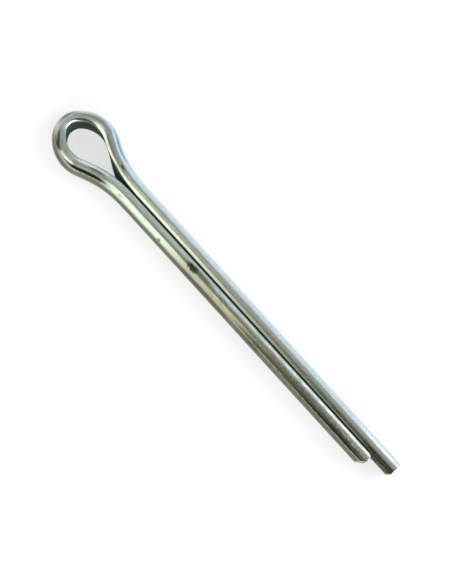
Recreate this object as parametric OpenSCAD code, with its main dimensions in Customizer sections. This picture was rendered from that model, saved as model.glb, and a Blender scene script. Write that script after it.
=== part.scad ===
// Split cotter pin, size 6.3 x 71, bent from one half-round steel wire.
// The wire is folded round a teardrop eye and its two legs lie flat to flat,
// so that together they make a round shank. The long leg runs past the short
// one, which leaves a lip to start a screwdriver or pliers under.
// Frame: millimetres, origin on the shank's axis where the straight round shank
// starts and the legs begin to part, +X along the shank towards the tips,
// +Z square to the plane in which the wire is bent.

/* [Shank] */
// Diameter of the round shank that the two closed legs make
shank_d = 5.9; // [5.7:0.05:6]
// Daylight left between the flats of the two legs
leg_gap = 0.15; // [0.1:0.05:0.25]
// Length from the plane of the hole's mouth to the end of the short leg
grip_len = 69.6; // [40:0.1:90]
// How much further the long leg runs
leg_step = 4.5; // [2:0.1:8]
// Rounding along both edges of the wire's flat
edge_r = 0.18; // [0.1:0.02:0.26]
// Diameter of the hole that the pin is made for
hole_d = 6.3; // [6.25:0.05:6.5]

/* [Eye] */
// Width of the eye over the outside of the wire
eye_w = 12.1; // [11.7:0.1:12.5]
// Bend radius at the far end of the eye, to the centre of the wire's round side
end_bend_r = 2.2; // [2.1:0.05:2.6]
// How far past its widest place each side of the eye runs before that bend, in degrees
side_angle = 49; // [40:1:52]
// Slope of the straight flanks to the shank
flank_angle = 23.5; // [22:0.1:25]
// Bend radius of each shoulder, to the centre of the wire's round side
shoulder_r = 22; // [16:0.5:23]
// Slope of the legs where they first part
lead_angle = 3.5; // [2.5:0.1:4]
// Bend radius of that first gentle parting
lead_r = 52; // [35:1:54]

/* [Leg ends] */
// Bevel that the shear leaves on the outside of the short leg, along the leg
short_bevel_x = 2; // [0.6:0.1:2]
// The same bevel across the leg
short_bevel_y = 1.7; // [0.6:0.1:2]
// Rounding on the short leg's corner beside the split
short_round = 0.9; // [0.3:0.1:1.2]
// Bevel on the long leg's corner beside the split
long_bevel = 0.3; // [0.3:0.05:1.2]
// Rounding on the long leg's outer corner
long_round = 0.3; // [0.1:0.05:0.6]

/* [Hidden] */
$fn = 96;
shank_r = shank_d / 2;
flat_u = leg_gap / 2;
// the wire's section: centre of the small arcs that round the flat's edges
edge_u = flat_u + edge_r;
edge_w = sqrt(pow(shank_r - edge_r, 2) - edge_u * edge_u);
// the bend line, from the start of the shoulder (x = 0, y = 0) to the eye
lead_end = [-lead_r * sin(lead_angle), lead_r * (1 - cos(lead_angle))];
shoulder_c = lead_end + shoulder_r * [sin(lead_angle), cos(lead_angle)];
shoulder_end = shoulder_c - shoulder_r * [sin(flank_angle), cos(flank_angle)];
side_bend_r = (eye_w / 2 - shank_r - end_bend_r * cos(side_angle)) / (1 - cos(side_angle));
side_c_y = -(side_bend_r - end_bend_r) * cos(side_angle);
flank_len = (side_c_y + side_bend_r * cos(flank_angle) - shoulder_end[1]) / sin(flank_angle);
flank_end = shoulder_end + flank_len * [-cos(flank_angle), sin(flank_angle)];
side_c = flank_end - side_bend_r * [sin(flank_angle), cos(flank_angle)];
end_c = side_c + (side_bend_r - end_bend_r) * [-sin(side_angle), cos(side_angle)];
// where the outside of the shoulder is as wide as the hole
contact_cos = (shoulder_c[1] - hole_d / 2) / (shoulder_r - shank_r);
contact_x = shoulder_c[0] - (shoulder_r - shank_r) * sin(acos(contact_cos));
// every second stretch of wire is slimmer by this much and laps into its neighbours
joint_slim = 0.008;
joint_lap = 0.1;
cut_h = shank_d + 2;
cut_over = 1;

// Section of the wire: u is outward from the split, w is up. It is a round cut
// off by the flat, with both edges of the flat rounded. slim takes that much off
// the surface all round, so that one stretch of wire can start inside the next.
module wire_section(slim) {
    round_r = shank_r - slim;
    small_r = edge_r - slim;
    intersection() {
        circle(r = round_r);
        polygon([
            [edge_u, -edge_w],
            [edge_u * (1 + cut_over), -edge_w * (1 + cut_over)],
            [shank_d, -edge_w * (1 + cut_over)],
            [shank_d, edge_w * (1 + cut_over)],
            [edge_u * (1 + cut_over), edge_w * (1 + cut_over)],
            [edge_u, edge_w]
        ]);
    }
    translate([flat_u + slim, -edge_w])
        square([shank_r / 2, 2 * edge_w]);
    for (side = [-1, 1])
        translate([edge_u, side * edge_w])
            circle(r = small_r);
}

// A straight run of wire along +X. lap carries it on past both ends.
module straight(run, slim = 0, lap = 0) {
    translate([-lap, 0])
        rotate([90, 0, 90])
            linear_extrude(height = run + 2 * lap)
                wire_section(slim);
}

// A bend with the flat on the inside of the curve.
module bend_in(radius, from, sweep, slim = 0, lap = 0) {
    extra = lap / radius * 180 / PI;
    rotate([0, 0, from - extra])
        rotate_extrude(angle = sweep + 2 * extra)
            translate([radius, 0])
                wire_section(slim);
}

// A bend with the flat on the outside of the curve.
module bend_out(radius, from, sweep, slim = 0, lap = 0) {
    extra = lap / radius * 180 / PI;
    rotate([0, 0, from - extra])
        rotate_extrude(angle = sweep + 2 * extra)
            translate([radius, 0])
                mirror([1, 0])
                    wire_section(slim);
}

// What a rounding of radius r takes off a square corner at the origin.
module corner_round(r) {
    linear_extrude(height = cut_h, center = true)
        difference() {
            translate([-r, -r])
                square(r + cut_over);
            translate([-r, -r])
                circle(r = r);
        }
}

// What a bevel of bx by by takes off a square corner at the origin.
module corner_bevel(bx, by) {
    slope = by / bx;
    linear_extrude(height = cut_h, center = true)
        polygon([
            [-bx - cut_over, cut_over * slope],
            [cut_over, -by - cut_over * slope],
            [cut_over, cut_over * slope]
        ]);
}

// Everything on one side of the split except the leg: shoulder, flank, side of the eye.
module half_eye() {
    translate([0, lead_r])
        bend_out(lead_r, -90 - lead_angle, lead_angle, joint_slim, joint_lap);
    translate(shoulder_c)
        bend_out(shoulder_r, -90 - flank_angle, flank_angle - lead_angle);
    translate(flank_end)
        rotate([0, 0, -flank_angle])
            straight(flank_len, joint_slim, joint_lap);
    translate(side_c)
        bend_in(side_bend_r, 90 - flank_angle, flank_angle + side_angle);
}

module eye_end() {
    translate(end_c)
        bend_in(end_bend_r, 90 + side_angle, 180 - 2 * side_angle, joint_slim, joint_lap);
}

module long_leg() {
    run = contact_x + grip_len + leg_step;
    difference() {
        straight(run);
        translate([run, shank_r])
            corner_round(long_round);
        translate([run, flat_u])
            mirror([0, 1])
                corner_bevel(long_bevel, long_bevel);
    }
}

module short_leg() {
    run = contact_x + grip_len;
    difference() {
        straight(run);
        translate([run, shank_r])
            corner_bevel(short_bevel_x, short_bevel_y);
        translate([run, flat_u])
            mirror([0, 1])
                corner_round(short_round);
    }
}

module cotter_pin() {
    color([0.72, 0.74, 0.72])
        union() {
            long_leg();
            half_eye();
            eye_end();
            mirror([0, 1])
                half_eye();
            mirror([0, 1])
                short_leg();
        }
}

cotter_pin();
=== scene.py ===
from math import atan2, cos, exp, log, pi, radians, sin, sqrt, tan

import bmesh
import bpy
from mathutils import Matrix, Vector


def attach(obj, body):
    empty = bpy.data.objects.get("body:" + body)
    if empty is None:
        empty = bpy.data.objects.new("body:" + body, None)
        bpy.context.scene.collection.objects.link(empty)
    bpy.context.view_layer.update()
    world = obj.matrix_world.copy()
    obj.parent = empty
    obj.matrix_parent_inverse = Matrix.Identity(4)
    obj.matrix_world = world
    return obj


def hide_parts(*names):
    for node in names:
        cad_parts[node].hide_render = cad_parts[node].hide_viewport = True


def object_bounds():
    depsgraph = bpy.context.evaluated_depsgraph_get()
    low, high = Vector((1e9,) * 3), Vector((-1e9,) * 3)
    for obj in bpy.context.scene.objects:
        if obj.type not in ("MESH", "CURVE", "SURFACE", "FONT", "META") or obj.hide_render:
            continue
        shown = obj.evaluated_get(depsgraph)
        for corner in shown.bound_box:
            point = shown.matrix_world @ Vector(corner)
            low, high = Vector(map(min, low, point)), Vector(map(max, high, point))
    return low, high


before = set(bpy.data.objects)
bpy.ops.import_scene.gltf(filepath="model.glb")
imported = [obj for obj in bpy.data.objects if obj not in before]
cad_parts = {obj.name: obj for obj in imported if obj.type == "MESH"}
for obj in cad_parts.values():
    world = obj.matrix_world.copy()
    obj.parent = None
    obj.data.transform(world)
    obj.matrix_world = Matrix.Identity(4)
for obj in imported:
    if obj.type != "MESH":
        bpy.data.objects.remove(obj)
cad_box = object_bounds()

# ---------------------------------------------------------------- camera
# A long lens looks down steeply on the lying pin from its short leg's side,
# so that the eye is at the upper left and the tips at the lower right.
mm = 0.001
look_at = Vector((23.89, 0.716, 0.0)) * mm
view_azimuth = radians(48.61)
view_height = radians(74.60)
view_distance = 787.45 * mm

towards_camera = Vector((
    sin(view_azimuth) * cos(view_height),
    -cos(view_azimuth) * cos(view_height),
    sin(view_height)))
to_the_right = Vector((cos(view_azimuth), sin(view_azimuth), 0.0))
upwards = towards_camera.cross(to_the_right)

bpy.ops.object.select_all(action="DESELECT")
bpy.ops.object.camera_add()
camera = bpy.context.object
camera.data.sensor_width = 36.0
camera.data.lens = 264.1
camera.data.clip_start = 0.01
camera.data.clip_end = 30.0
turn = Matrix((to_the_right, upwards, towards_camera)).transposed().to_4x4()
camera.matrix_world = Matrix.Translation(look_at + towards_camera * view_distance) @ turn
bpy.context.scene.camera = camera

# -------------------------------------------------------------- the wire
# One length of half-round steel wire, bent double: a long leg, a narrow
# eye and a short leg, with the two flats facing each other. It is cold
# drawn, cropped and bent, then zinc plated all over, so it stays bare metal.
shank_r = 2.95                  # both legs together make one round
wire_r = 2.947                  # of the plated wire, which lies just inside that round
leg_gap = 0.15                  # between the two flats
short_tip = 65.4                # where the legs end, from the straight shank's start
long_tip = 69.9
edge_r = 0.18                   # rounding of the wire's two long edges
eye_width = 12.1
lead_r, lead_angle = 52.0, 3.5  # the legs part slowly at first
shoulder_r, flank_angle = 22.0, 23.5
end_bend_r, side_angle = 2.2, 49.0
leg_lean = 2.8                  # of the section's top, in degrees, towards the short leg
pinch = 0.2                     # how much fuller the long leg's flat is where the legs meet
eye_flat = 0.2                  # the flat's depth in the eye, where the wire is drawn thinner
same_place = 0.001              # places closer than this, in millimetres, are one

lead_end_y = lead_r * (1 - cos(radians(lead_angle)))
shoulder_centre_y = lead_end_y + shoulder_r * cos(radians(lead_angle))
shoulder_end_y = shoulder_centre_y - shoulder_r * cos(radians(flank_angle))
side_bend_r = (
    (eye_width / 2 - shank_r - end_bend_r * cos(radians(side_angle)))
    / (1 - cos(radians(side_angle))))
side_centre_y = -(side_bend_r - end_bend_r) * cos(radians(side_angle))
flank_run = (
    (side_centre_y + side_bend_r * cos(radians(flank_angle)) - shoulder_end_y)
    / sin(radians(flank_angle)))

# The section: a round cut to a half, its corners eased, facing along X at
# the long leg's tip.
bpy.ops.object.select_all(action="DESELECT")
bpy.ops.mesh.primitive_circle_add(
    vertices=64, radius=wire_r * mm, fill_type="NGON",
    location=(long_tip * mm, 0, 0), rotation=(0, pi / 2, 0))
wire = bpy.context.object
wire.name = "pin_wire"
wire.data.name = "pin_wire"
bpy.ops.object.transform_apply(location=True, rotation=True, scale=True)
bpy.ops.object.mode_set(mode="EDIT")
bpy.ops.mesh.select_mode(type="VERT")
bpy.ops.mesh.select_all(action="SELECT")
bpy.ops.mesh.bisect(
    plane_co=(0, leg_gap / 2 * mm, 0), plane_no=(0, 1, 0), clear_inner=True,
    threshold=0.0001 * mm)


def pick_flat():
    """Selects the section's points that lie on its flat."""
    cage = bmesh.from_edit_mesh(wire.data)
    for vertex in cage.verts:
        vertex.select = abs(vertex.co.y / mm - leg_gap / 2) < same_place
    cage.select_flush_mode()
    bmesh.update_edit_mesh(wire.data)


pick_flat()
bpy.ops.mesh.bevel(offset=edge_r * mm, segments=5, affect="VERTICES")
pick_flat()
bpy.ops.mesh.subdivide(number_cuts=15)

# Each point also keeps its place in the wire as it was drawn straight: the
# run along it, then the place in the section, so that the finish follows
# the bends.
cage = bmesh.from_edit_mesh(wire.data)
drawn_place = cage.verts.layers.float_vector.new("drawn_mm")
for vertex in cage.verts:
    vertex[drawn_place] = (0.0, vertex.co.y / mm, vertex.co.z / mm)
bmesh.update_edit_mesh(wire.data)
bpy.ops.mesh.select_all(action="SELECT")
bpy.ops.transform.rotate(
    value=-radians(leg_lean), orient_axis="X", center_override=(long_tip * mm, 0, 0))

centre = [long_tip, 0.0]        # of the round, at the end that is being formed
heading = pi                    # first from the long tip towards the eye
run_so_far = 0.0
lean = leg_lean                 # of the section now, to the left of the heading


def mark_run():
    """Gives the end's points the run that the wire has reached."""
    cage = bmesh.from_edit_mesh(wire.data)
    layer = cage.verts.layers.float_vector["drawn_mm"]
    for vertex in cage.verts:
        if vertex.select:
            vertex[layer] = (run_so_far, vertex[layer].y, vertex[layer].z)


def draw_on(run, steps):
    """Carries the wire's end straight on."""
    global run_so_far
    for _ in range(steps):
        step = (run / steps * cos(heading), run / steps * sin(heading))
        bpy.ops.mesh.extrude_region_move(
            TRANSFORM_OT_translate={"value": (step[0] * mm, step[1] * mm, 0)})
        centre[0] += step[0]
        centre[1] += step[1]
        run_so_far += run / steps
        mark_run()


def thin_flat(amount):
    """Moves the flat of the end's section, with most of its rounded edges,
    towards the crown of its round."""
    cage = bmesh.from_edit_mesh(wire.data)
    layer = cage.verts.layers.float_vector["drawn_mm"]
    moved_below = leg_gap / 2 + edge_r * 0.7
    end = [vertex for vertex in cage.verts if vertex.select]
    flat = [vertex for vertex in end if vertex[layer].y < moved_below]
    crown = max(end, key=lambda vertex: vertex[layer].y).co
    outwards = (crown - Vector((centre[0] * mm, centre[1] * mm, 0))).normalized()
    for vertex in flat:
        vertex.co += outwards * amount * mm
    bmesh.update_edit_mesh(wire.data)


def bend(radius, angle, steps, lean_to, flat_shift=0.0):
    """Bends the wire's end by angle in degrees, to the left where it is above 0.
    On the way it twists the section evenly to a new lean and moves its flat in."""
    global heading, run_so_far, lean
    side = 1 if angle > 0 else -1
    twist = (lean_to - lean) / steps
    for _ in range(steps):
        pivot = (
            centre[0] - side * radius * sin(heading),
            centre[1] + side * radius * cos(heading))
        bpy.ops.mesh.spin(
            steps=1, angle=-radians(angle / steps), axis=(0, 0, 1),
            center=(pivot[0] * mm, pivot[1] * mm, 0))
        heading += radians(angle / steps)
        centre[0] = pivot[0] + side * radius * sin(heading)
        centre[1] = pivot[1] - side * radius * cos(heading)
        run_so_far += radius * radians(abs(angle) / steps)
        for axis, share in (("X", cos(heading)), ("Y", sin(heading))):
            bpy.ops.transform.rotate(
                value=radians(twist * share), orient_axis=axis,
                center_override=(centre[0] * mm, centre[1] * mm, 0))
        if flat_shift:
            thin_flat(flat_shift / steps)
        mark_run()
    lean = lean_to


# From the long tip round the eye to the short tip. A leg's straight has one
# long step at its tip, where the crop is made, and steps of about 1.5 mm from
# there to its bends.
tip_run, join_run = 3.0, 4.0
half_shoulder = (lead_angle - flank_angle) / 2
bpy.ops.mesh.select_all(action="SELECT")
draw_on(tip_run, 1)
draw_on(long_tip - (tip_run + join_run), 44)
draw_on(join_run, 3)
bend(lead_r, -lead_angle, 4, lean_to=1.4)
bend(shoulder_r, half_shoulder, 7, lean_to=-2.0, flat_shift=-pinch)
bend(shoulder_r, half_shoulder, 7, lean_to=4.0, flat_shift=eye_flat - leg_gap / 2 + pinch)
draw_on(flank_run, 3)
bend(side_bend_r, side_angle + flank_angle, 24, lean_to=4.4)
bend(end_bend_r, 180 - 2 * side_angle, 26, lean_to=-0.4)
bend(side_bend_r, side_angle + flank_angle, 24, lean_to=-2.6)
draw_on(flank_run, 3)
bend(shoulder_r, 2 * half_shoulder, 14, lean_to=-leg_lean, flat_shift=leg_gap / 2 - eye_flat)
bend(lead_r, -lead_angle, 4, lean_to=-leg_lean)
draw_on(join_run, 3)
draw_on(short_tip - (tip_run + join_run), 38)
draw_on(tip_run, 1)
wire_run = run_so_far

# The ends as cropped. Each leans back under itself. The short leg has a bevel
# at its outer corner, where the blade went through, and its seam corner is
# tumbled round, over the top as well.
rim_top = 2.9                   # the height from which an end leans back
rim_r = 0.06
long_round, long_lean = 0.3, 14
short_lean = 11.5
short_bevel_x, short_bevel_y, short_bevel_lean = 1.5, 1.49, 8
short_bevel_blend = 0.05        # how softly the bevel meets the end
short_round, short_rim_r = 0.9, 0.55
short_shelf = 0.25              # how far from the flat that round ends
tumbled_at, tumbled_reach = 62, 45      # the larger rim's middle and half, in degrees


def long_end(y, z):
    """How far in X the long leg reaches at a place in its section."""
    reach = long_tip - (rim_top - z) * tan(radians(long_lean))
    corner = max(0.0, y - (shank_r - long_round))
    return reach - long_round + sqrt(max(0.0, long_round ** 2 - corner ** 2))


def short_end(y, z):
    """How far in X the short leg reaches at a place in its section."""
    reach = short_tip - (rim_top - z) * tan(radians(short_lean))
    corner = max(0.0, y + leg_gap / 2 + short_shelf + short_round)
    reach += sqrt(max(0.0, short_round ** 2 - corner ** 2)) - short_round
    slope = short_bevel_x / short_bevel_y
    bevel = (
        short_tip - short_bevel_x + (y + shank_r) * slope
        - (rim_top - z) * tan(radians(short_bevel_lean)) * sqrt(1 + slope ** 2))
    return short_tip - short_bevel_blend * log(
        exp((short_tip - reach) / short_bevel_blend)
        + exp((short_tip - bevel) / short_bevel_blend))


def long_rim(angle):
    """The rim's radius, which is the same all round the long leg's end."""
    return rim_r


def short_rim(angle):
    """The rim's radius, larger at the seam corner and next to it over the top."""
    turned_off = min(1.0, abs(angle - radians(tumbled_at)) / radians(tumbled_reach))
    return rim_r + (short_rim_r - rim_r) * cos(turned_off * pi / 2)


# Rings from the rim inwards, this deep, close an end. One more, this far
# behind the rim, keeps the side straight up to it.
ring_depths = (
    0.0, 0.01, 0.035, 0.07, 0.11, 0.16, 0.22, 0.3,
    0.4, 0.5, 0.6, 0.7, 0.8, 0.9, 1.0, 1.1)
side_ring_back = 0.12


def crop_end(run, along, tip, surface, rim):
    """Closes the wire's end at a run in rings, from its rim over the cropped
    surface to the middle. The run grows with X where along is -1."""
    cage = bmesh.from_edit_mesh(wire.data)
    layer = cage.verts.layers.float_vector["drawn_mm"]
    for vertex in cage.verts:
        vertex.select = abs(vertex[layer].x - run) < same_place
    cage.select_flush_mode()
    bmesh.update_edit_mesh(wire.data)
    end = [vertex for vertex in cage.verts if vertex.select]
    middle = sum((vertex.co for vertex in end), Vector()) / len(end)
    drawn_middle = sum((vertex[layer] for vertex in end), Vector()) / len(end)

    def shape_ring(set_in, depth, back):
        """Moves the selected ring in by set_in, to this depth from the rim, and
        lays it on the surface, or this far back of it."""
        cage = bmesh.from_edit_mesh(wire.data)
        layer = cage.verts.layers.float_vector["drawn_mm"]
        for vertex in cage.verts:
            if vertex.select:
                arm = Vector((0.0, vertex.co.y - middle.y, vertex.co.z - middle.z)) / mm
                share = set_in / arm.length
                place = middle / mm + arm * (1 - share)
                rim_radius = rim(atan2(arm.z, arm.y))
                left = max(0.0, rim_radius - depth)
                drop = rim_radius - sqrt(rim_radius ** 2 - left ** 2)
                reach = surface(place.y, place.z) - drop - back
                vertex.co = Vector((reach, place.y, place.z)) * mm
                drawn = vertex[layer] + (drawn_middle - vertex[layer]) * share
                vertex[layer] = (run + along * (tip - reach), drawn.y, drawn.z)
        bmesh.update_edit_mesh(wire.data)

    shape_ring(0.0, 0.0, side_ring_back)
    reached = 0.0
    for depth in ring_depths:
        bpy.ops.mesh.extrude_region_move(TRANSFORM_OT_translate={"value": (0, 0, 0)})
        shape_ring(depth - reached, depth, 0.0)
        reached = depth


crop_end(0.0, 1, long_tip, long_end, long_rim)
crop_end(wire_run, -1, short_tip, short_end, short_rim)

bpy.ops.mesh.select_all(action="SELECT")
bpy.ops.mesh.remove_doubles(threshold=0.00001 * mm)
bpy.ops.mesh.normals_make_consistent(inside=False)
bpy.ops.object.mode_set(mode="OBJECT")
crease_angle = 35               # in degrees, from which an edge stays sharp
bpy.ops.object.shade_smooth_by_angle(angle=radians(crease_angle))


def linear(hex_colour):
    """An sRGB hex colour, turned linear."""
    parts = [int(hex_colour[i:i + 2], 16) / 255 for i in (1, 3, 5)]
    return [c / 12.92 if c <= 0.04045 else ((c + 0.055) / 1.055) ** 2.4 for c in parts] + [1.0]


def add(tree, kind, inputs=None, **settings):
    """Adds one node with its settings, and sets or links its inputs."""
    made = tree.nodes.new(kind)
    for name, value in settings.items():
        setattr(made, name, value)
    for name, value in (inputs or {}).items():
        if isinstance(value, bpy.types.NodeSocket):
            tree.links.new(value, made.inputs[name])
        else:
            made.inputs[name].default_value = value
    return made


# Drawn steel wire with a bright zinc plating and a thin clear passivation
# film. That gives soft long reflections, clouded where the plating is matt,
# and nicks and stains, which bending and storing left. The bluish and olive
# flanks, the dark lines and bands, and one bright band are painted reflection,
# highlight and shade.
zinc = bpy.data.materials.new("zinc_plated_steel")
zinc.use_nodes = True
tree = zinc.node_tree
tree.nodes.clear()
drawn = add(tree, "ShaderNodeAttribute", attribute_name="drawn_mm").outputs["Vector"]
place = add(tree, "ShaderNodeSeparateXYZ", {0: drawn})
round_angle = add(tree, "ShaderNodeMath", {
    0: place.outputs["Z"], 1: place.outputs["Y"]}, operation="ARCTAN2").outputs[0]
round_arc = add(tree, "ShaderNodeMath", {
    0: round_angle, 1: wire_r}, operation="MULTIPLY").outputs[0]
unrolled = add(tree, "ShaderNodeCombineXYZ", {
    "X": place.outputs["X"], "Y": round_arc, "Z": place.outputs["Y"]}).outputs[0]

# Drawing lines, 0.2 mm across and 8 mm long. The real ones are a tenth of
# that across, and are drawn coarser so that they show.
streak_place = add(tree, "ShaderNodeMapping", {
    "Vector": drawn, "Scale": (0.12, 5.0, 5.0)}).outputs[0]
streaks = add(tree, "ShaderNodeTexNoise", {
    "Vector": streak_place, "Scale": 1.0, "Detail": 4.0, "Roughness": 0.6}).outputs["Fac"]

# Matt patches of the plating, 0.7 mm across and 1.7 mm long, with smaller
# ones in them. The smallest real ones are too fine to show, and are left out.
cloud_place = add(tree, "ShaderNodeMapping", {
    "Vector": drawn, "Scale": (0.6, 1.5, 1.5)}).outputs[0]
clouds = add(tree, "ShaderNodeTexNoise", {
    "Vector": cloud_place, "Scale": 1.0, "Detail": 5.0, "Roughness": 0.72}).outputs["Fac"]

# The colour by facing: the zinc's own nearly neutral tint over the top, and
# painted reflection and shade in light and dark bands on the flanks, bluish
# towards one and olive down the other. The neutral part is wider by the short
# leg's shoulder, and narrower down that leg.
turned = add(tree, "ShaderNodeNewGeometry").outputs["Normal"]
split = add(tree, "ShaderNodeSeparateXYZ", {0: turned})
wider = add(tree, "ShaderNodeMapRange", {
    "Value": place.outputs["X"], "From Min": 103.0, "From Max": 108.0,
    "To Min": 0.0, "To Max": 0.1}).outputs[0]
narrower = add(tree, "ShaderNodeMapRange", {
    "Value": place.outputs["X"], "From Min": 114.0, "From Max": 134.0,
    "To Min": 0.0, "To Max": -0.1}).outputs[0]
steep = add(tree, "ShaderNodeMath", {
    0: split.outputs["X"], 1: 0.3, 2: split.outputs["Z"]}, operation="MULTIPLY_ADD").outputs[0]
steep = add(tree, "ShaderNodeMath", {0: steep, 1: wider}, operation="ADD").outputs[0]
steep = add(tree, "ShaderNodeMath", {0: steep, 1: narrower}, operation="ADD").outputs[0]
steep = add(tree, "ShaderNodeMapRange", {
    "Value": steep, "From Min": 0.74, "From Max": 0.48, "To Min": 0.0, "To Max": 1.0},
    interpolation_type="SMOOTHSTEP").outputs[0]
side = add(tree, "ShaderNodeVectorMath", {
    0: turned, 1: (0.35, 0.94, 0.0)}, operation="DOT_PRODUCT").outputs["Value"]
side = add(tree, "ShaderNodeMapRange", {
    "Value": side, "From Min": -1.0, "From Max": 1.0, "To Min": 0.0, "To Max": 1.0}).outputs[0]
painted_bluish_flank = (
    (0.66, "#DEE3D0"), (0.71, "#D0D8CB"), (0.76, "#BAC9C6"), (0.81, "#B5CCD2"),
    (0.86, "#C2DCE5"), (0.89, "#CBE6F2"), (0.93, "#A0BAC5"), (0.96, "#B8CFD9"))
neutral_top = ((0.01, "#D5E4DC"), (0.58, "#D5E4DC"))
painted_olive_flank = (
    (0.03, "#565540"), (0.08, "#67684F"), (0.11, "#82856F"), (0.15, "#A5AB9C"),
    (0.22, "#BCC5BA"), (0.30, "#98A093"), (0.39, "#565C4E"), (0.46, "#616958"),
    (0.58, "#A0ABA2"))
tint_and_painted_flanks = []
for stops in (neutral_top + painted_bluish_flank, painted_olive_flank + painted_bluish_flank):
    flank_ramp = add(tree, "ShaderNodeValToRGB", {"Fac": side})
    for stop_place, colour in stops:
        flank_ramp.color_ramp.elements.new(stop_place).color = linear(colour)
    flank_ramp.color_ramp.elements.remove(flank_ramp.color_ramp.elements[0])
    flank_ramp.color_ramp.elements.remove(flank_ramp.color_ramp.elements[-1])
    tint_and_painted_flanks.append(flank_ramp.outputs["Color"])
base = add(tree, "ShaderNodeMix", {
    "Factor": steep, 6: tint_and_painted_flanks[0], 7: tint_and_painted_flanks[1]}, data_type="RGBA").outputs[2]

# Dirt in the matt patches, more of it down the short leg.
dirtier = add(tree, "ShaderNodeMapRange", {
    "Value": place.outputs["X"], "From Min": 118.0, "From Max": 140.0,
    "To Min": 0.3, "To Max": 0.6}).outputs[0]
cloudy = add(tree, "ShaderNodeMapRange", {
    "Value": clouds, "From Min": 0.3, "From Max": 0.6, "To Min": 1.0, "To Max": 0.0}).outputs[0]
cloudy = add(tree, "ShaderNodeMath", {0: cloudy, 1: dirtier}, operation="MULTIPLY").outputs[0]
base = add(tree, "ShaderNodeMix", {
    "Factor": cloudy, 6: base, 7: linear("#8E8D78")}, data_type="RGBA").outputs[2]

# The cropped ends, below their rims: torn, so duller, and painted darker as shade on top of
# that.
facing_on = add(tree, "ShaderNodeMapRange", {
    "Value": split.outputs["X"], "From Min": 0.42, "From Max": 0.55}).outputs[0]
below_rim = add(tree, "ShaderNodeMapRange", {
    "Value": split.outputs["Z"], "From Min": 0.2, "From Max": 0.05}).outputs[0]
torn_and_shaded = add(tree, "ShaderNodeMath", {
    0: facing_on, 1: below_rim}, operation="MULTIPLY").outputs[0]
base = add(tree, "ShaderNodeMix", {
    "Factor": torn_and_shaded, 6: base, 7: linear("#605F4E")}, data_type="RGBA").outputs[2]

# The flat, which hardly any light reaches in the split: painted shade, dull,
# green-black in the eye and olive at the long leg's bare end, where the
# painted shade reaches over its corner as well.
corner_shade_reach = add(tree, "ShaderNodeMapRange", {
    "Value": place.outputs["X"], "From Min": 4.4, "From Max": 4.9,
    "To Min": 0.16, "To Max": 0.0}).outputs[0]
recess_shade = add(tree, "ShaderNodeMath", {
    0: place.outputs["Y"], 1: corner_shade_reach}, operation="SUBTRACT").outputs[0]
recess_shade = add(tree, "ShaderNodeMapRange", {
    "Value": recess_shade, "From Min": 0.15, "From Max": 0.34, "To Min": 1.0, "To Max": 0.0},
    interpolation_type="SMOOTHSTEP").outputs[0]
along = add(tree, "ShaderNodeMapRange", {
    "Value": place.outputs["X"], "From Min": 4.0, "From Max": 9.0}).outputs[0]
recess_shade_colour = add(tree, "ShaderNodeMix", {
    "Factor": along, 6: linear("#6A684E"), 7: linear("#445D4E")}, data_type="RGBA").outputs[2]
base = add(tree, "ShaderNodeMix", {
    "Factor": recess_shade, 6: base, 7: recess_shade_colour}, data_type="RGBA").outputs[2]

# Marks on the round side, real stains and nicks among them, but many of them
# painted reflection, highlight and shade: where each lies along the wire in
# millimetres and round its section in degrees, half its length and half its
# width in millimetres, how far it is turned in degrees, how strong it is, and
# its colour. Their edges are uneven, in specks of half a millimetre, which are
# drawn coarser than the real ones so that they show.
widest_line = 0.4               # half the width up to which a mark is a line, and not a stain or a broad painted band
fade_from, fade_to = 0.65, 1.35         # where a mark fades out, as shares of its half size
all_through = 100.0             # half its depth, so that only its place on the surface counts
specks = add(tree, "ShaderNodeTexNoise", {
    "Vector": unrolled, "Scale": 1.9, "Detail": 4.0, "Roughness": 0.7}).outputs["Color"]
specks = add(tree, "ShaderNodeVectorMath", {
    0: specks, 1: (0.5, 0.5, 0.5)}, operation="SUBTRACT").outputs[0]
edges = []
for unevenness in ((0.5, 0.15, 0.0), (2.2, 1.5, 0.0)):      # of a line, and of a stain or a broad painted band
    wobble = add(tree, "ShaderNodeVectorMath", {
        0: specks, 1: unevenness}, operation="MULTIPLY").outputs[0]
    edges.append(add(tree, "ShaderNodeVectorMath", {
        0: unrolled, 1: wobble}, operation="ADD").outputs[0])
line_edge, stain_and_painted_band_edge = edges
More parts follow.
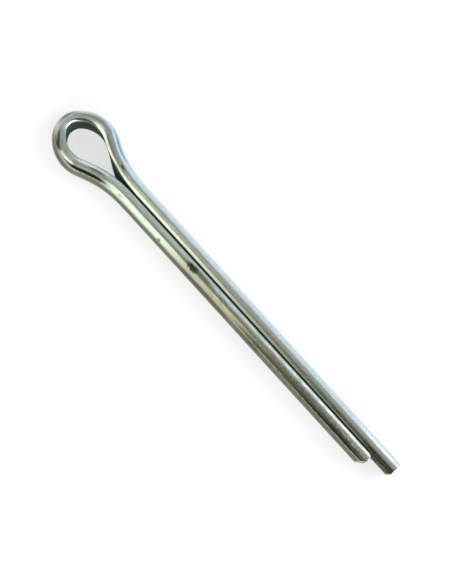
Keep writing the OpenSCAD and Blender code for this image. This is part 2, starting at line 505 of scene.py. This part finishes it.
for run, angle, half_run, half_arc, turn_by, strength, colour in (
        # The short leg's shoulder: a painted dark reflection on the inside, and darker sides.
        (100.1, 45.5, 4.5, 0.40, 0.0, 0.97, "#1D1A17"),
        (101.9, 70.5, 1.7, 0.22, 0.0, 0.60, "#4A453A"),
        (101.0, 22.0, 4.4, 0.85, 0.0, 0.75, "#575B4A"),
        # The short leg: a painted yellowish reflection band along its side, then a stain with
        # its smear.
        (136.0, 50.0, 13.0, 0.90, 0.0, 0.62, "#8C8868"),
        (127.9, 66.0, 1.35, 0.62, 0.0, 0.97, "#211F18"),
        (130.3, 73.0, 2.4, 0.34, 0.0, 0.60, "#4A483C"),
        # Painted shade along its lower side, and a long painted darker reflection band above.
        (132.0, 24.0, 7.0, 0.60, 0.0, 0.60, "#4B4936"),
        (145.2, 27.0, 3.0, 0.45, 0.0, 0.60, "#4B4636"),
        (136.0, 64.5, 27.0, 0.28, 0.0, 0.45, "#6E6F50"),
        # Towards its tip: a broad painted dark reflection band with a darker painted line in
        # it, and painted shade below.
        (147.0, 45.0, 6.0, 0.25, 0.0, 0.50, "#3E3D30"),
        (160.0, 50.5, 17.0, 0.78, 0.0, 0.84, "#5C5945"),
        (172.0, 50.0, 7.0, 0.60, 0.0, 0.60, "#3A382B"),
        (155.0, 5.0, 24.0, 0.50, 0.0, 0.65, "#474532"),
        (167.0, 43.5, 11.0, 0.22, 0.0, 0.85, "#1C1D1A"),
        # The long leg's end: painted shade by its flat, and a painted highlight on its flank.
        (3.0, 82.0, 5.0, 0.42, 0.0, 0.70, "#2B2A1D"),
        (4.5, 41.0, 7.0, 0.42, 0.0, 0.75, "#F2FAFF"),
        # Nicks on both legs.
        (119.7, 41.3, 0.45, 0.30, 0.0, 0.70, "#4A4437"),
        (108.5, 48.0, 0.50, 0.22, 0.0, 0.45, "#6A6553"),
        (76.4, 66.5, 0.65, 0.20, 0.0, 0.88, "#2C3024"),
        (75.6, 65.0, 0.45, 0.14, 0.0, 0.70, "#2C3024"),
        # The eye: a painted dark reflection by its inner edge, and darker, bluish patches round
        # its outside.
        (87.7, 79.0, 2.5, 0.30, -4.0, 0.92, "#262A22"),
        (86.3, 48.0, 3.4, 0.60, 0.0, 0.45, "#5E6863"),
        (93.3, 44.3, 1.0, 0.22, 0.0, 0.75, "#4A5564"),
        (80.4, 35.0, 3.3, 0.26, -3.0, 0.80, "#6C8296")):
    seen_at = add(tree, "ShaderNodeMapping", {
        "Vector": stain_and_painted_band_edge if half_arc > widest_line else line_edge,
        "Location": (run, radians(angle) * wire_r, 0.0),
        "Rotation": (0.0, 0.0, radians(turn_by)),
        "Scale": (half_run, half_arc, all_through)}, vector_type="TEXTURE").outputs[0]
    away = add(tree, "ShaderNodeVectorMath", {
        0: seen_at}, operation="LENGTH").outputs["Value"]
    mark = add(tree, "ShaderNodeMapRange", {
        "Value": away, "From Min": fade_to, "From Max": fade_from,
        "To Min": 0.0, "To Max": strength}, interpolation_type="SMOOTHSTEP").outputs[0]
    base = add(tree, "ShaderNodeMix", {
        "Factor": mark, 6: base, 7: linear(colour)}, data_type="RGBA").outputs[2]

rough = add(tree, "ShaderNodeMapRange", {
    "Value": clouds, "From Min": 0.35, "From Max": 0.65,
    "To Min": 0.22, "To Max": 0.15}).outputs[0]
rough = add(tree, "ShaderNodeMix", {"Factor": recess_shade, 2: rough, 3: 0.95}).outputs[0]
bump = add(tree, "ShaderNodeBump", {
    "Height": streaks, "Strength": 0.3, "Distance": 0.02 * mm}).outputs[0]
metal = add(tree, "ShaderNodeBsdfPrincipled", {
    "Base Color": base, "Metallic": 1.0, "Roughness": rough, "Normal": bump})
add(tree, "ShaderNodeOutputMaterial", {"Surface": metal.outputs[0]})
wire.data.materials.clear()
wire.data.materials.append(zinc)

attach(wire, "root")
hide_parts("cotter_pin")

# --------------------------------------------------------------- the table
# A plain table under the pin, covered in matt white paper. It shows part of
# an even white to the camera and in the metal, and takes light and the pin's
# soft shadow with the rest, so that it looks evenly lit.
table_size = 6.0                # in metres, so that its edge is out of sight
table_glow = 0.63               # the share of the even white
bpy.ops.object.select_all(action="DESELECT")
bpy.ops.mesh.primitive_plane_add(size=table_size, location=(0, 0, cad_box[0][2]))
table = bpy.context.object
table.name = "table"
paper = bpy.data.materials.new("white_paper")
paper.use_nodes = True
tree = paper.node_tree
tree.nodes.clear()
matt = add(tree, "ShaderNodeBsdfDiffuse", {"Color": linear("#F4F4F4")})
glow = add(tree, "ShaderNodeEmission", {"Color": (1, 1, 1, 1), "Strength": 1.0})
path = add(tree, "ShaderNodeLightPath")
seen = add(tree, "ShaderNodeMath", {
    0: path.outputs["Is Camera Ray"], 1: path.outputs["Is Glossy Ray"]},
    operation="ADD").outputs[0]
seen = add(tree, "ShaderNodeMath", {
    0: seen, 1: path.outputs["Is Transmission Ray"]}, operation="ADD").outputs[0]
share = add(tree, "ShaderNodeMath", {0: seen, 1: table_glow}, operation="MULTIPLY").outputs[0]
paper_mix = add(tree, "ShaderNodeMixShader", {
    0: share, 1: matt.outputs[0], 2: glow.outputs[0]})
add(tree, "ShaderNodeOutputMaterial", {"Surface": paper_mix.outputs[0]})
table.data.materials.append(paper)

# --------------------------------------------------------------- the light
# Soft boxes all round. Two large far ones light the table and the pin. The
# others are what the bare metal shows in its long reflections: those overhead
# on the crowns, and the low ones and the window strips on the flanks.
down, to_window, from_window = (0, 0, -1), (0, 1, 0), (0, -1, 0)
for name, place, facing, size, radiance, colour in (
        ("key_box", (500, 450, 600), (-480, -450, -600), (500, 500), 6.0, "#FBFAFF"),
        ("fill_box", (600, -450, 600), (-580, 450, -600), (500, 500), 5.0, "#FFFFFF"),
        ("overhead_box", (-24, -95, 300), down, (48, 90), 1.0, "#F8F6FF"),
        ("overhead_tip_box", (50, -73, 300), down, (100, 107), 2.1, "#F8F6FF"),
        ("overhead_side_box", (35, -210, 300), down, (130, 140), 0.35, "#FFFAF2"),
        ("eye_side_box", (-65, -245, 300), down, (90, 550), 0.5, "#FCFFFC"),
        ("eye_far_box", (-280, -245, 300), down, (340, 550), 0.36, "#FCFFFC"),
        ("eye_end_box", (-192, 15, 300), down, (84, 190), 3.9, "#F4F2FF"),
        ("eye_inner_box", (-122, 20, 300), down, (56, 100), 2.6, "#F4F4FF"),
        ("warm_box", (-103, 143, 300), down, (96, 146), 1.9, "#FFF6E4"),
        ("warm_inner_box", (-38, 117, 300), down, (34, 104), 0.7, "#FFF1E0"),
        ("warm_far_box", (-135, 315, 300), down, (90, 200), 0.8, "#FFF3DC"),
        ("low_cream_box", (-48, -200, 64), to_window, (83, 132), 1.5, "#FFF8E8"),
        ("low_cream_far_box", (-118, -200, 64), to_window, (57, 132), 1.05, "#FFF8E8"),
        ("low_side_box", (9, -200, 98), to_window, (32, 200), 0.32, "#FFF4E4"),
        ("low_shoulder_box", (77, -200, 98), to_window, (104, 200), 0.6, "#FFF8EC"),
        ("low_end_box", (-300, -40, 35), (1, 0, 0), (360, 60), 0.5, "#FFEFE6"),
        ("window_side_strip", (-65, 350, 30), from_window, (120, 60), 0.65, "#F2F8FF"),
        ("window_tip_strip", (8, 350, 30), from_window, (44, 60), 1.1, "#F2F8FF"),
        ("window_far_strip", (90, 350, 62), from_window, (120, 100), 0.5, "#F2F8FF")):
    bpy.ops.object.select_all(action="DESELECT")
    bpy.ops.object.light_add(type="AREA", location=Vector(place) * mm)
    box = bpy.context.object
    box.name = name
    box.rotation_euler = Vector(facing).to_track_quat("-Z", "Y").to_euler()
    box.data.shape = "RECTANGLE"
    box.data.size, box.data.size_y = size[0] * mm, size[1] * mm
    box.data.color = linear(colour)[:3]
    box.data.energy = radiance * pi * size[0] * mm * size[1] * mm

# The room is dim and warm, paler behind the eye, towards the window and
# beyond the tips.
world = bpy.data.worlds.new("studio")
world.use_nodes = True
bpy.context.scene.world = world
tree = world.node_tree
tree.nodes.clear()
where = add(tree, "ShaderNodeTexCoord").outputs["Generated"]
split = add(tree, "ShaderNodeSeparateXYZ", {0: where})
eye_side = add(tree, "ShaderNodeVectorMath", {
    0: where, 1: (-1.0, 0.6, 0.0)}, operation="DOT_PRODUCT").outputs["Value"]
eye_side = add(tree, "ShaderNodeMapRange", {
    "Value": eye_side, "From Min": 0.45, "From Max": 0.85, "To Min": 0.0, "To Max": 0.45},
    interpolation_type="SMOOTHSTEP").outputs[0]
window_side = add(tree, "ShaderNodeMapRange", {
    "Value": split.outputs["Y"], "From Min": 0.55, "From Max": 1.0,
    "To Min": 0.04, "To Max": 0.65}).outputs[0]
tip_side = add(tree, "ShaderNodeMapRange", {
    "Value": split.outputs["X"], "From Min": 0.36, "From Max": 0.55,
    "To Min": 0.0, "To Max": 1.2}, interpolation_type="SMOOTHSTEP").outputs[0]
strength = add(tree, "ShaderNodeMath", {
    0: eye_side, 1: window_side}, operation="MAXIMUM").outputs[0]
strength = add(tree, "ShaderNodeMath", {
    0: strength, 1: tip_side}, operation="MAXIMUM").outputs[0]
paler = add(tree, "ShaderNodeMapRange", {
    "Value": strength, "From Min": 0.04, "From Max": 0.3}).outputs[0]
air = add(tree, "ShaderNodeMix", {
    "Factor": paler, 6: linear("#FFE2B8"), 7: linear("#FBFDFF")}, data_type="RGBA").outputs[2]
sky = add(tree, "ShaderNodeBackground", {"Color": air, "Strength": strength})
add(tree, "ShaderNodeOutputWorld", {"Surface": sky.outputs[0]})

bpy.context.scene.view_settings.view_transform = "Standard"

bpy.ops.object.select_all(action="DESELECT")
